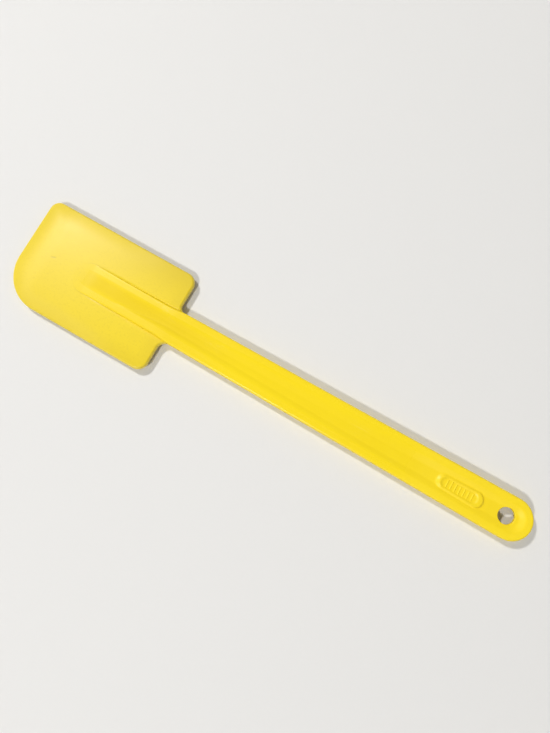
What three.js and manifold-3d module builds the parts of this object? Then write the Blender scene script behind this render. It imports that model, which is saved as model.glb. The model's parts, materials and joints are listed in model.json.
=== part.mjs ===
// Jar scraper: a stiff bar handle with a hang hole, a face trough, a thumb pad and a cored back,
// and a softer blade moulded round the handle's spine and the keyed tang that the blade hides.
// Millimetres. X runs from the handle's round end to the blade's tip, Y goes across, Z is up.
// The origin is the middle of the object's length and width, on the surface that it lies on.

import * as THREE from 'three';
import { mergeVertices } from 'three/addons/utils/BufferGeometryUtils.js';
import Module from 'manifold-3d';

const wasm = await Module();
wasm.setup();

// Whole object
const overallLength = 250;
const mouldGap = 0.3; // between the blade and what it is moulded round

// Handle bar
const handleEndWidth = 18.2;
const neckWidth = 15.5;
const handleThickness = 6;
const handleEdgeRadius = 1.5;

// Hang hole
const holeDiameter = 7;
const holeFromEnd = 11.3;
const holeMouthChamfer = 0.3;

// Trough along the handle's face, flaring to a dish round the hang hole
const dishWidth = 12.4;
const dishLength = 76; // from the middle of the handle's round end
const troughBarWidth = 9.7;
const troughNeckWidth = 7.7;
const troughFrontWidth = 6.8;
const troughDepth = 0.6;
const troughWallWidth = 3;
const troughFromSpineFront = 4.5;

// Core, the hollow in the handle's back that leaves side walls and a thin web under the trough
const coreDepth = 3.4;
const coreWallWidth = 2.8;
const coreFromNeck = 10;
const coreEdgeRadius = 0.6;

// Thumb pad that stands in the trough, with a sunk field and plain ribs
const padFromEnd = 32.6;
const padLength = 23;
const padWidth = 8.8;
const padHeight = 0.5;
const padEdgeRadius = 0.5;
const fieldLength = 16.6;
const fieldWidth = 5.6;
const fieldDepth = 0.35;
const ribCount = 7;
const ribPitch = 1.9;
const ribWidth = 0.8;
const ribLength = 3.4;
const ribHeight = 0.25;

// Spine, the stretch of the handle that shows on both faces of the blade
const spineLength = 50;
const spineFrontWidth = 14;
const spineFrontStep = 0.2; // how far its front stands over the blade's face

// Tang, the thin plate round the spine that the blade hides and grips
const tangThickness = 0.9;
const tangSideReach = 5;
const tangFrontReach = 8;
const tangFromBackEdge = 7;
const tangCornerRadius = 4;
const anchorCount = 3; // on each side
const anchorDiameter = 3.2;
const anchorPitch = 14;

// Blade
const bladeLength = 76.5;
const bladeWidth = 48.7;
const bladeThickness = 2.8;
const bladeRimThickness = 1.2;
const bladeRimWidth = 1;
const bladeTipThickness = 1.2;
const bladeTipTaper = 14;
const squareCornerRadius = 4.5;
const roundCornerRadius = 18.5;
const backCornerRadius = 5;
const squareSideFillet = 2.6;
const roundSideFillet = 3.8;

// Colours and finish
const handleColour = '#fdd81c';
const bladeColour = '#f5e04f';
const handleRoughness = 0.34;
const bladeRoughness = 0.46;

// How finely round stretches are cut, and how far a cutter passes what it cuts
const endSteps = 10;
const cornerSteps = 6;
const boreSides = 32;
const edgeSteps = 3;
const overcut = 2;

// Places worked out from the sizes
const endX = -overallLength / 2;
const tipX = overallLength / 2;
const neckX = tipX - bladeLength;
const spineFrontX = neckX + spineLength;
const middleZ = handleThickness / 2;
const holeX = endX + holeFromEnd;
const endCentreX = endX + handleEndWidth / 2;
const dishX = endCentreX + dishLength;
const padX = endX + padFromEnd;
const troughFloorZ = handleThickness - troughDepth;
const spineFrontHalf = bladeThickness / 2 + spineFrontStep;
const spineSlope = (handleThickness / 2 - spineFrontHalf) / spineLength;

const QUARTER = Math.PI / 2;

// A closed geometry as a solid that can be joined and cut
function toSolid(geometry) {
  const bare = geometry.clone();
  bare.deleteAttribute('normal');
  bare.deleteAttribute('uv');
  const merged = mergeVertices(bare);
  return new wasm.Manifold(new wasm.Mesh({
    numProp: 3,
    vertProperties: merged.attributes.position.array,
    triVerts: Uint32Array.from(merged.index.array),
  }));
}

// A named mesh of a finished solid
function toMesh(name, solid, colour, roughness) {
  const { vertProperties, triVerts } = solid.getMesh();
  const geometry = new THREE.BufferGeometry();
  geometry.setAttribute('position', new THREE.BufferAttribute(vertProperties, 3));
  geometry.setIndex(new THREE.BufferAttribute(triVerts, 1));
  geometry.computeVertexNormals();
  const material = new THREE.MeshStandardMaterial({ color: colour, roughness, metalness: 0 });
  const mesh = new THREE.Mesh(geometry, material);
  mesh.name = name;
  return mesh;
}

// A plan outline raised from lowZ to highZ, its edges brought in over edgeWidth and edgeHeight,
// rounded or, in one step, straight
function plate(
  plan, lowZ, highZ, edgeWidth = 0, edgeHeight = edgeWidth, curveSegments = endSteps, steps = edgeSteps,
) {
  const geometry = new THREE.ExtrudeGeometry(plan, {
    depth: highZ - lowZ - 2 * edgeHeight,
    bevelEnabled: edgeWidth > 0,
    bevelSize: edgeWidth,
    bevelOffset: -edgeWidth,
    bevelThickness: edgeHeight,
    bevelSegments: steps,
    curveSegments,
  });
  geometry.translate(0, 0, lowZ + edgeHeight);
  return geometry;
}

// An outline drawn in X and Z, carried across Y by the given width about the middle
function crosswise(points, width) {
  const outline = new THREE.Shape(points.map(([x, z]) => new THREE.Vector2(x, z)));
  const geometry = new THREE.ExtrudeGeometry(outline, { depth: width, bevelEnabled: false });
  geometry.rotateX(QUARTER);
  geometry.translate(0, width / 2, 0);
  return toSolid(geometry);
}

// The outline round two circles on the X axis, x0 before x1
function slotPlan(x0, radius0, x1, radius1) {
  const lean = Math.asin((radius0 - radius1) / (x1 - x0));
  const plan = new THREE.Shape();
  plan.absarc(x0, 0, radius0, QUARTER - lean, 3 * QUARTER + lean, false);
  plan.absarc(x1, 0, radius1, lean - QUARTER, QUARTER - lean, false);
  plan.closePath();
  return plan;
}

// A stadium of the given length and width about a point on the X axis
function stadiumPlan(x, length, width) {
  const reach = (length - width) / 2;
  return slotPlan(x - reach, width / 2, x + reach, width / 2);
}

// Wedges that thin a plate evenly on both faces from fromX, where it is 2 * half thick, along +X
function thinningWedges(fromX, half, slope, toX, width) {
  const drop = slope * (toX - fromX);
  const far = half + overcut;
  const above = [[fromX, half], [toX, half - drop], [toX, far], [fromX, far]];
  const below = above.map(([x, z]) => [x, -z]).reverse();
  const lift = ([x, z]) => [x, middleZ + z];
  return crosswise(above.map(lift), width).add(crosswise(below.map(lift), width));
}

// The handle's bar and spine, larger all round by grow where it is the blade's cutter
function barAndSpine(grow = 0) {
  const endRadius = handleEndWidth / 2;
  const frontRadius = spineFrontWidth / 2;
  const plan = new THREE.Shape();
  plan.absarc(endCentreX, 0, endRadius + grow, QUARTER, 3 * QUARTER, false);
  plan.lineTo(neckX, -neckWidth / 2 - grow);
  plan.absarc(spineFrontX - frontRadius, 0, frontRadius + grow, -QUARTER, QUARTER, false);
  plan.lineTo(neckX, neckWidth / 2 + grow);
  plan.closePath();
  const bar = toSolid(plate(plan, -grow, handleThickness + grow, handleEdgeRadius + grow));
  const pastFront = spineFrontX + overcut;
  const half = handleThickness / 2 + grow;
  return bar.subtract(thinningWedges(neckX, half, spineSlope, pastFront, handleEndWidth + overcut));
}

// The tang's plate, with the anchor holes that the blade fills
function tangPlate(grow = 0) {
  const backX = neckX + tangFromBackEdge - grow;
  const frontX = spineFrontX + tangFrontReach + grow;
  const half = neckWidth / 2 + tangSideReach + grow;
  const radius = tangCornerRadius + grow;
  const plan = new THREE.Shape();
  plan.absarc(backX + radius, radius - half, radius, 2 * QUARTER, 3 * QUARTER, false);
  plan.absarc(frontX - radius, radius - half, radius, -QUARTER, 0, false);
  plan.absarc(frontX - radius, half - radius, radius, 0, QUARTER, false);
  plan.absarc(backX + radius, half - radius, radius, QUARTER, 2 * QUARTER, false);
  plan.closePath();
  const reach = tangThickness / 2 + grow;
  let tang = toSolid(plate(plan, middleZ - reach, middleZ + reach, 0, 0, cornerSteps));
  const anchorY = (neckWidth + tangSideReach) / 2;
  const firstX = (neckX + tangFromBackEdge + spineFrontX) / 2 - anchorPitch * (anchorCount - 1) / 2;
  for (let i = 0; i < anchorCount; i += 1) {
    for (const side of [-1, 1]) {
      const anchor = new THREE.CylinderGeometry(
        anchorDiameter / 2 - grow, anchorDiameter / 2 - grow, tangThickness + overcut, boreSides / 2);
      anchor.rotateX(QUARTER);
      anchor.translate(firstX + i * anchorPitch, side * anchorY, middleZ);
      tang = tang.subtract(toSolid(anchor));
    }
  }
  return tang;
}

// The trough's cutter: level from the dish to the neck, then sloped along the spine
function troughCutter() {
  const top = handleThickness + overcut + troughDepth;
  const frontX = spineFrontX - troughFromSpineFront - troughFrontWidth / 2;
  const groove = (x0, width0, x1, width1) => plate(
    slotPlan(x0, width0 / 2, x1, width1 / 2), troughFloorZ, top, troughWallWidth, troughDepth, endSteps, 1);
  const dish = groove(endCentreX, dishWidth, dishX, troughBarWidth);
  const bar = groove(dishX, troughBarWidth, neckX, troughNeckWidth);
  const spine = groove(neckX, troughNeckWidth, frontX, troughFrontWidth);
  spine.translate(-neckX, 0, -handleThickness);
  spine.rotateY(Math.atan(spineSlope));
  spine.translate(neckX, 0, handleThickness);
  return toSolid(dish).add(toSolid(bar)).add(toSolid(spine));
}

// The core's cutter, rounded along its floor
function coreCutter() {
  const endRadius = handleEndWidth / 2 - coreWallWidth;
  const frontRadius = neckWidth / 2 - coreWallWidth;
  const plan = slotPlan(endCentreX, endRadius, neckX - coreFromNeck - frontRadius, frontRadius);
  return toSolid(plate(plan, -overcut, coreDepth, coreEdgeRadius));
}

// The hang hole's cutter, chamfered at both faces of the web
function holeCutter() {
  const radius = holeDiameter / 2;
  const mouth = radius + holeMouthChamfer;
  const profile = [
    [0, -overcut],
    [mouth, -overcut],
    [mouth, coreDepth],
    [radius, coreDepth + holeMouthChamfer],
    [radius, troughFloorZ - holeMouthChamfer],
    [mouth, troughFloorZ],
    [mouth, handleThickness + overcut],
    [0, handleThickness + overcut],
  ].map(([r, z]) => new THREE.Vector2(r, z));
  const geometry = new THREE.LatheGeometry(profile, boreSides);
  geometry.rotateX(QUARTER);
  geometry.translate(holeX, 0, 0);
  return toSolid(geometry);
}

// The thumb pad, rooted in the trough's floor
function thumbPad() {
  const rootZ = troughFloorZ - troughDepth;
  const topZ = troughFloorZ + padHeight;
  const fieldZ = topZ - fieldDepth;
  const body = toSolid(plate(stadiumPlan(padX, padLength, padWidth), rootZ, topZ, padEdgeRadius));
  const field = toSolid(plate(stadiumPlan(padX, fieldLength, fieldWidth), fieldZ, topZ + overcut));
  let pad = body.subtract(field);
  for (let i = 0; i < ribCount; i += 1) {
    const ribTop = fieldZ + ribHeight;
    const rib = new THREE.BoxGeometry(ribWidth, ribLength, ribTop - rootZ);
    rib.translate(padX + (i - (ribCount - 1) / 2) * ribPitch, 0, (ribTop + rootZ) / 2);
    pad = pad.add(toSolid(rib));
  }
  return pad;
}

function handleSolid() {
  return barAndSpine()
    .subtract(troughCutter())
    .add(thumbPad())
    .subtract(coreCutter())
    .add(tangPlate())
    .subtract(holeCutter());
}

// The blade's outline, with the large round corner on the +Y side and fillets down to the neck
function bladePlan() {
  const half = bladeWidth / 2;
  const neckHalf = neckWidth / 2;
  const plan = new THREE.Shape();
  const fillet = (radius, side) => [neckX - radius, side * (neckHalf + radius), radius];
  const back = backCornerRadius;
  const square = squareCornerRadius;
  const round = roundCornerRadius;
  plan.absarc(...fillet(squareSideFillet, -1), QUARTER, 0, true);
  plan.absarc(neckX + back, back - half, back, 2 * QUARTER, 3 * QUARTER, false);
  plan.absarc(tipX - square, square - half, square, -QUARTER, 0, false);
  plan.absarc(tipX - round, half - round, round, 0, QUARTER, false);
  plan.absarc(neckX + back, half - back, back, QUARTER, 2 * QUARTER, false);
  plan.absarc(...fillet(roundSideFillet, 1), 0, -QUARTER, true);
  plan.closePath();
  return plan;
}

function bladeSolid() {
  const half = bladeThickness / 2;
  const rimHeight = (bladeThickness - bladeRimThickness) / 2;
  const sheet = toSolid(plate(
    bladePlan(), middleZ - half, middleZ + half, bladeRimWidth, rimHeight, cornerSteps));
  const tipSlope = (bladeThickness - bladeTipThickness) / 2 / bladeTipTaper;
  const tipWedges = thinningWedges(
    tipX - bladeTipTaper, half, tipSlope, tipX + overcut, bladeWidth + overcut);
  return sheet.subtract(tipWedges).subtract(barAndSpine(mouldGap)).subtract(tangPlate(mouldGap));
}

const jarScraper = new THREE.Group();
jarScraper.add(toMesh('handle', handleSolid(), handleColour, handleRoughness));
jarScraper.add(toMesh('blade', bladeSolid(), bladeColour, bladeRoughness));

export default jarScraper;
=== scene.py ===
"""Jar scraper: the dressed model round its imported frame, laid out as an add-on and run as a script."""

import json
import math
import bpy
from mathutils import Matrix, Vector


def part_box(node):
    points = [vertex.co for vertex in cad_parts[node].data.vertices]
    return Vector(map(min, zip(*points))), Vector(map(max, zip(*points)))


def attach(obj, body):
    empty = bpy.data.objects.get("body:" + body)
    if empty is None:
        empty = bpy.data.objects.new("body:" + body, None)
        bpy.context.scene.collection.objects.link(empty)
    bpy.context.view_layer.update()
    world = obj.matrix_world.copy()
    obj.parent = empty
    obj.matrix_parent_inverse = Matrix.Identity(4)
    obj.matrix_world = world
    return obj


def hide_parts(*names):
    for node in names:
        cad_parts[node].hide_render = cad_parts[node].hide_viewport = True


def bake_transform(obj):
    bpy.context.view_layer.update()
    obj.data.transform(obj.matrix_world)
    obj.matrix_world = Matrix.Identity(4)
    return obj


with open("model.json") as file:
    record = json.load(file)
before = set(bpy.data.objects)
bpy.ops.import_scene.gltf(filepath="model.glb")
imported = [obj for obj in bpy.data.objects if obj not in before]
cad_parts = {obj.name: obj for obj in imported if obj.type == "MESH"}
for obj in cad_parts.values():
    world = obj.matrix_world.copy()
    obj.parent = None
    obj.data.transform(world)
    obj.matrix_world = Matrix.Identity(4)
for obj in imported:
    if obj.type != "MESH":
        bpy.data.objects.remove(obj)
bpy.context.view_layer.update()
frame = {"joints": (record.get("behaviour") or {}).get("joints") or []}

from types import SimpleNamespace

import bmesh
import bpy
import numpy as np
from bpy.props import FloatProperty, FloatVectorProperty, IntProperty, PointerProperty
from bpy.types import Operator, Panel, PropertyGroup
from mathutils import Matrix, Vector
from mathutils.geometry import delaunay_2d_cdt

bl_info = {
    "name": "Jar scraper",
    "version": (1, 0, 0),
    "blender": (4, 5, 0),
    "location": "3D View > Sidebar > Scraper",
    "description": "Shapes a moulded jar scraper from its sizes, round its packed solids",
    "category": "Object",
}

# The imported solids' boxes and the flex joint give the places that the sizes hang on
HANDLE_LOW, HANDLE_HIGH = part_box("handle")
BLADE_LOW, BLADE_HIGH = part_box("blade")
FLEX_JOINT = frame["joints"][0]
NECK_X = FLEX_JOINT["pos_m"][0]
MIDDLE_Z = FLEX_JOINT["pos_m"][2]

MM = 0.001

# How finely the surfaces are cut, in millimetres or in steps
OUTLINE_STEP = 0.9
ARC_STEPS = 30
SIDE_STEPS = 9
BORE_STEPS = 64
MOUTH_STEPS = 5
BAR_STATION_STEP = 1.0
END_STATION_STEP = 0.5
PAD_STATION_STEP = 0.3
PAD_MARGIN = 1.0
TROUGH_LINES = 15
RAIL_LINES = 6
HOLE_RING_STEP = 0.4
HOLE_RING_OVERLAP = 0.1
POINTS_PER_RADIUS = 14
BACK_STATION_STEP = 3.0
BACK_LINES = 9
BLADE_GRID_STEP = 0.9
NOSE_STEPS = 5
RIM_RINGS = 5
LOOP_CLEARANCE = 0.12
CREASE_DEGREES = 40

# Limits of the plane geometry: the least divisor, how many points are measured at once, the distance under
# which points count as one, and the triangulation's own number for triangles inside the loops
TINY = 1e-12
POINTS_AT_ONCE = 1500
POINT_TOLERANCE = 1e-7
TRIANGLES_INSIDE = 1

# The camera fitted to the photographed outline: focal length in pixels of a 550 by 733 image, turns in
# degrees, the object's middle in the camera's own axes in millimetres, and the nearest sight in metres
IMAGE_HEIGHT = 733
FOCAL_PIXELS = 560
SENSOR_WIDTH = 36.0
CAMERA_TILT = (-8.0217, -1.6468)
CAMERA_TURN = 150.3901
CAMERA_MIDDLE = (-3.8012, -5.815, -241.9898)
CAMERA_CLIP = 0.01


# Sizes and colours that a user would change

def length(name, description, millimetres):
    """A size in metres, given in millimetres."""
    return FloatProperty(
        name=name, description=description, default=millimetres * MM, min=0.0, unit="LENGTH", precision=5)


def share(name, description, default):
    """A value from 0 to 1."""
    return FloatProperty(
        name=name, description=description, default=default, min=0.0, max=1.0, subtype="FACTOR")


def power(name, description, watts):
    """A lamp's power in watts."""
    return FloatProperty(name=name, description=description, default=watts, min=0.0, unit="POWER")


def colour(name, description, default):
    """A linear colour."""
    return FloatVectorProperty(
        name=name, description=description, default=default, size=3, min=0.0, max=1.0, subtype="COLOR")


class HandleSizes(PropertyGroup):
    """The stiff handle with its hang hole, trough and spine."""
    end_width: length("End width", "Width at the round end", 18.2)
    neck_width: length("Neck width", "Width where the blade begins", 15.5)
    spine_width: length("Spine width", "Width of the spine just inside the blade", 14.8)
    spine_front_width: length("Spine front width", "Width of the spine at its round front", 14.0)
    spine_length: length("Spine length", "How far the spine runs into the blade", 50.0)
    neck_half: length("Neck half thickness", "From the middle to the face at the neck", 2.5)
    spine_front_half: length(
        "Spine front half thickness", "From the middle to the spine's face at its front", 1.4)
    spine_flush: length("Spine flush", "Stretch at the spine's front that lies level with the blade", 7.0)
    neck_blend: length("Neck blend", "Half the stretch over which the bar turns into the spine", 4.0)
    side_round: length("Side round", "How far in the rounded sides of the bar reach", 0.9)
    spine_round: length("Spine round", "How far in the rounded edges of the spine reach at the neck", 1.0)
    spine_front_round: length("Spine front round", "The same at the spine's front", 0.25)
    side_flat: length("Side flat", "Half the height of the straight band on the bar's sides", 1.6)
    spine_flat: length("Spine flat", "Half the height of the straight band on the spine's sides", 1.2)
    hole_diameter: length("Hole diameter", "Bore of the hang hole", 7.0)
    hole_from_end: length("Hole from end", "From the handle's end to the middle of the hole", 11.3)
    hole_mouth: length("Hole mouth", "Rounding of the hole's edges", 0.3)
    dish_half: length("Dish half width", "Half width of the trough's flare at the round end", 6.2)
    dish_wall: length("Dish wall", "Width of the flare's sloped wall", 3.6)
    dish_depth: length("Dish depth", "Depth of the flare round the hang hole", 0.9)
    dish_length: length("Dish length", "From the middle of the round end to where the flare ends", 76.0)
    trough_half: length("Trough half width", "Half width of the trough where the flare ends", 5.2)
    trough_neck_half: length("Trough neck half width", "Half width of the trough at the neck", 3.8)
    trough_front_half: length("Trough front half width", "Half width of the trough at its front", 3.8)
    trough_wall: length("Trough wall", "Width of the trough's wall on the round corner's side", 2.6)
    trough_slope: share("Trough slope", "Share of the half width that the other, gentler wall takes", 0.95)
    trough_depth: length("Trough depth", "Depth of the trough on the bar", 0.55)
    trough_offset: length(
        "Trough offset", "How far the trough lies off the middle, to the square corner's side", 0.2)
    trough_fade: length("Trough fade", "Stretch beyond the neck over which the trough runs out", 30.0)
    trough_from_front: length(
        "Trough from front", "From the spine's front to the middle of the trough's end", 7.7)
    core_depth: length("Core depth", "Depth of the hollow in the back", 3.4)
    core_wall: length("Core wall", "Width of the side walls that the hollow leaves", 2.8)
    core_from_neck: length("Core from neck", "From the hollow's front to the neck", 10.0)
    core_draft: length("Core draft", "How far the hollow's walls lean in", 0.25)
    core_edge: length("Core edge", "Rounding along the hollow's rim", 0.3)
    core_fillet: length("Core fillet", "Rounding between the hollow's walls and its floor", 0.6)


class PadSizes(PropertyGroup):
    """The raised oval thumb pad in the trough, with plain ribs in its sunk field."""
    from_end: length("Pad from end", "From the handle's end to the middle of the pad", 32.6)
    pad_offset: length(
        "Pad offset", "How far the pad lies off the middle, to the round corner's side", 0.5)
    pad_length: length("Pad length", "Length of the raised oval", 23.0)
    pad_width: length("Pad width", "Width of the raised oval", 8.8)
    pad_height: length("Pad height", "Height over the trough's floor", 0.84)
    pad_wall: length("Pad wall", "Width of the oval's sloped edge at its end towards the blade", 2.8)
    pad_end_wall: length("Pad end wall", "The same at its end towards the hang hole", 1.3)
    field_length: length("Field length", "Length of the sunk field", 17.4)
    field_width: length("Field width", "Width of the sunk field", 5.8)
    field_depth: length("Field depth", "Depth of the field under the oval's rim", 0.4)
    field_wall: length("Field wall", "Width of the field's sloped edge", 1.3)
    rib_count: IntProperty(name="Ribs", description="How many ribs stand in the field", default=7, min=1)
    rib_pitch: length("Rib pitch", "From rib to rib", 1.9)
    rib_length: length("Rib length", "Length of a rib across the pad", 3.8)
    rib_radius: length("Rib radius", "Radius of a rib's rounded top", 0.4)
    rib_height: length("Rib height", "Height of a rib over the field", 0.25)


class BladeSizes(PropertyGroup):
    """The softer blade round the spine."""
    thickness: length("Thickness", "Thickness between the faces", 2.8)
    rim_thickness: length("Rim thickness", "Thickness just inside the rounded rim", 1.2)
    rim_width: length("Rim width", "How far in the rim's bevel reaches", 1.0)
    rim_flat: length("Rim flat", "Half the height of the straight band on the rim", 0.12)
    nose: length("Nose", "How far in the rounded edge of the rim reaches", 0.45)
    tip_thickness: length("Tip thickness", "Thickness between the faces at the tip", 1.2)
    tip_taper: length("Tip taper", "Length over which the blade thins to its tip", 14.0)
    square_corner: length("Square corner", "Radius of the small front corner", 4.5)
    round_corner: length("Round corner", "Radius of the large front corner", 18.5)
    back_corner: length("Back corner", "Radius of the two back corners", 5.0)
    square_fillet: length("Square side fillet", "Radius into the neck on the square corner's side", 2.6)
    round_fillet: length("Round side fillet", "Radius into the neck on the round corner's side", 3.8)
    seam_gap: length("Seam gap", "Between the blade and the spine's side", 0.006)
    seam_round: length("Seam round", "How far in the blade's sunk edge along the seam reaches", 0.6)
    seam_sink: length("Seam sink", "How far the blade's edge sinks at the seam", 0.14)
    seam_fade: length("Seam fade", "Stretch before the spine's front over which the seam closes", 24.0)


class Finishes(PropertyGroup):
    """Colours and gloss."""
    handle_colour: colour("Handle colour", "Yellow of the stiff plastic", (0.985, 0.745, 0.0095))
    handle_deep: colour("Handle deep colour", "The same where the melt is denser", (0.97, 0.722, 0.008))
    # The trough's colour is partly the plastic's own tone and partly painted shade in the recess
    trough_colour: colour("Trough colour", "The same on the trough's floor", (0.90, 0.655, 0.015))
    handle_roughness: share("Handle roughness", "Gloss of the stiff plastic", 0.28)
    blade_colour: colour("Blade colour", "Paler yellow of the soft plastic", (0.90, 0.682, 0.016))
    # The deep colour also serves as painted shade on the blade's sides and tip, in its rim margin and
    # along the seam
    blade_deep: colour("Blade deep colour", "The same where the melt is denser", (0.75, 0.558, 0.011))
    blade_roughness: share("Blade roughness", "Gloss of the soft plastic", 0.32)
    scuff_colour: colour("Scuff colour", "Whitened plastic along worn edges", (0.95, 0.82, 0.22))
    nick_colour: colour("Nick colour", "Soil in the small nick on the blade", (0.42, 0.33, 0.05))
    floor_colour: colour("Floor colour", "The plain floor", (0.80, 0.79, 0.77))


class LightLevels(PropertyGroup):
    """Lamps and surroundings."""
    key_power: power("Key power", "Power of the main lamp", 27.5)
    fill_power: power("Fill power", "Power of the second lamp", 22.3)
    room_level: share("Room level", "Brightness of the plain surroundings", 0.24)


class ScraperSettings(PropertyGroup):
    """Everything that can be set on the scraper and its stage."""
    handle: PointerProperty(type=HandleSizes, name="Handle", description="Sizes of the handle")
    pad: PointerProperty(type=PadSizes, name="Thumb pad", description="Sizes of the thumb pad")
    blade: PointerProperty(type=BladeSizes, name="Blade", description="Sizes of the blade")
    finish: PointerProperty(type=Finishes, name="Finish", description="Colours and gloss")
    light: PointerProperty(type=LightLevels, name="Light", description="Lamps and surroundings")


def in_mm(group):
    """A group's sizes as plain numbers in millimetres, and its counts and shares as they are."""
    values = {}
    for prop in group.bl_rna.properties:
        if prop.type == "FLOAT" and prop.unit == "LENGTH":
            values[prop.identifier] = getattr(group, prop.identifier) / MM
        elif prop.type in ("FLOAT", "INT") and not prop.is_array:
            values[prop.identifier] = getattr(group, prop.identifier)
    return SimpleNamespace(**values)


# Plane geometry, in millimetres

def smooth(value):
    """0 below 0, 1 above 1 and an even S between them."""
    value = np.clip(value, 0.0, 1.0)
    return value * value * (3.0 - 2.0 * value)


def ramp(value, corner=0.25):
    """0 below 0, 1 above 1 and a straight slope between them, rounded over a corner at both ends."""
    value = np.clip(value, 0.0, 1.0)
    from_end = np.minimum(value, 1.0 - value)
    rise = np.where(from_end < corner, from_end ** 2 / (2 * corner), from_end - corner / 2)
    rise = rise / (1.0 - corner)
    return np.where(value < 0.5, rise, 1.0 - rise)


def smooth_max(first, second, reach):
    """The larger of two heights, rounded where they meet."""
    mix = np.clip(0.5 + 0.5 * (first - second) / reach, 0.0, 1.0)
    return second * (1.0 - mix) + first * mix + reach * mix * (1.0 - mix)


def stadium_depth(x, y, middle, long, wide):
    """How far inside a stadium along X a point lies, below 0 outside it."""
    past = np.maximum(np.abs(x - middle) - (long - wide) / 2, 0.0)
    return wide / 2 - np.hypot(past, y)


def arc(centre, radius, start, end, steps=ARC_STEPS):
    """Points on an arc, with its angles in degrees."""
    angle = np.radians(np.linspace(start, end, steps + 1))
    return np.column_stack([centre[0] + radius * np.cos(angle), centre[1] + radius * np.sin(angle)])


def quarter(steps):
    """Angles from 0 to a quarter turn, in radians."""
    return np.linspace(0.0, math.pi / 2, steps + 1)


def bar_loop(end, lower, front):
    """A closed loop round an end, along a lower side, round a front and back along the mirrored side."""
    upper = lower[::-1] * (1, -1)
    return np.vstack([end[:-1], lower[:-1], front[:-1], upper[:-1]])


def evenly(path, step):
    """A path's points placed again at even steps, with its ends kept."""
    run = np.concatenate([[0.0], np.cumsum(np.hypot(*np.diff(path, axis=0).T))])
    count = max(2, int(round(run[-1] / step)) + 1)
    places = np.linspace(0.0, run[-1], count)
    return np.column_stack([np.interp(places, run, path[:, axis]) for axis in (0, 1)])


def inward(loop):
    """Unit normals to the left of a closed loop, which is inside one that runs anticlockwise."""
    along = np.roll(loop, -1, axis=0) - np.roll(loop, 1, axis=0)
    along /= np.linalg.norm(along, axis=1, keepdims=True)
    return np.column_stack([-along[:, 1], along[:, 0]])


def path_distance(points, path, closed=False):
    """The distance from each point to a path."""
    ends = np.roll(path, -1, axis=0) if closed else path[1:]
    starts = path if closed else path[:-1]
    legs = ends - starts
    squares = np.maximum((legs ** 2).sum(axis=1), TINY)
    nearest = []
    for block in np.array_split(points, max(1, len(points) // POINTS_AT_ONCE)):
        offset = block[:, None, :] - starts[None]
        place = np.clip((offset * legs).sum(axis=2) / squares, 0.0, 1.0)
        gap = offset - place[..., None] * legs
        nearest.append(np.sqrt((gap ** 2).sum(axis=2).min(axis=1)))
    return np.concatenate(nearest)


def inside(points, loop):
    """Whether each point lies inside a closed loop."""
    x, y = points[:, 0][:, None], points[:, 1][:, None]
    x0, y0 = loop.T
    x1, y1 = np.roll(loop, -1, axis=0).T
    rise = np.where(y1 == y0, TINY, y1 - y0)
    crossed = ((y0 > y) != (y1 > y)) & (x < x0 + (y - y0) * (x1 - x0) / rise)
    return crossed.sum(axis=1) % 2 == 1


def fill_plan(outer, holes, spread):
    """Triangles between an outer loop and its holes, through the spread points that keep clear of them."""
    keep = inside(spread, outer) & (path_distance(spread, outer, True) > LOOP_CLEARANCE)
    for hole in holes:
        keep &= ~inside(spread, hole) & (path_distance(spread, hole, True) > LOOP_CLEARANCE)
    loops = [outer, *holes]
    points = np.vstack([*loops, spread[keep]])
    edges = []
    first = 0
    for loop in loops:
        edges += [(first + i, first + (i + 1) % len(loop)) for i in range(len(loop))]
        first += len(loop)
    corners = [Vector(point) for point in points]
    merged, _, triangles, *_ = delaunay_2d_cdt(corners, edges, [], TRIANGLES_INSIDE, POINT_TOLERANCE)
    if len(merged) != len(points):
        raise RuntimeError("two points of a plan fell together")
    triangles = np.array(triangles)
    middles = points[triangles].mean(axis=1)
    wanted = inside(middles, outer)
    for hole in holes:
        wanted &= ~inside(middles, hole)
    return points, triangles[wanted]


def shade_with_creases(mesh):
    """Shades a mesh smooth except at its real corners, such as those along the seam."""
    mesh.shade_smooth()
    mesh.set_sharp_from_angle(angle=math.radians(CREASE_DEGREES))


def put_in_scene(name, data):
    """A new object with its data, linked into the scene."""
    item = bpy.data.objects.new(name, data)
    bpy.context.scene.collection.objects.link(item)
    return item


class Skin:
    """Points and faces gathered for one closed mesh, in millimetres."""

    def __init__(self):
        self.points = []
        self.faces = []
        self.count = 0

    def add(self, plan, heights):
        """Adds points over a plan and returns their numbers."""
        points = np.column_stack([plan, np.broadcast_to(heights, len(plan))])
        self.points.append(points)
        numbers = np.arange(self.count, self.count + len(points))
        self.count += len(points)
        return numbers

    def band(self, first, second):
        """Joins two closed rings that have as many points."""
        after_first, after_second = np.roll(first, -1), np.roll(second, -1)
        self.faces += np.column_stack([first, after_first, after_second, second]).tolist()

    def bands(self, rings):
        """Joins each closed ring to the next."""
        for first, second in zip(rings, rings[1:]):
            self.band(first, second)

    def sheet(self, numbers, triangles):
        """Adds the triangles of a filled plan."""
        self.faces += numbers[triangles].tolist()

    def object(self, name, facts):
        """The closed mesh as an object at the origin, facing outwards, with facts on its points."""
        mesh = bpy.data.meshes.new(name)
        mesh.from_pydata((np.vstack(self.points) * MM).tolist(), [], self.faces)
        shape = bmesh.new()
        shape.from_mesh(mesh)
        bmesh.ops.recalc_face_normals(shape, faces=shape.faces)
        shape.to_mesh(mesh)
        shape.free()
        shade_with_creases(mesh)
        for title, values in facts.items():
            fact = mesh.attributes.new(title, "FLOAT", "POINT")
            fact.data.foreach_set("value", values.astype(np.float32))
        return put_in_scene(name, mesh)


# The handle's form

# How far the trough's round front is drawn out along X, how softly the pad meets the trough's walls in
# millimetres, and the least share of the trough's wall that is left where the trough runs out
FRONT_STRETCH = 2.0
PAD_BLEND = 0.08
LEAST_WALL = 0.05


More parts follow.
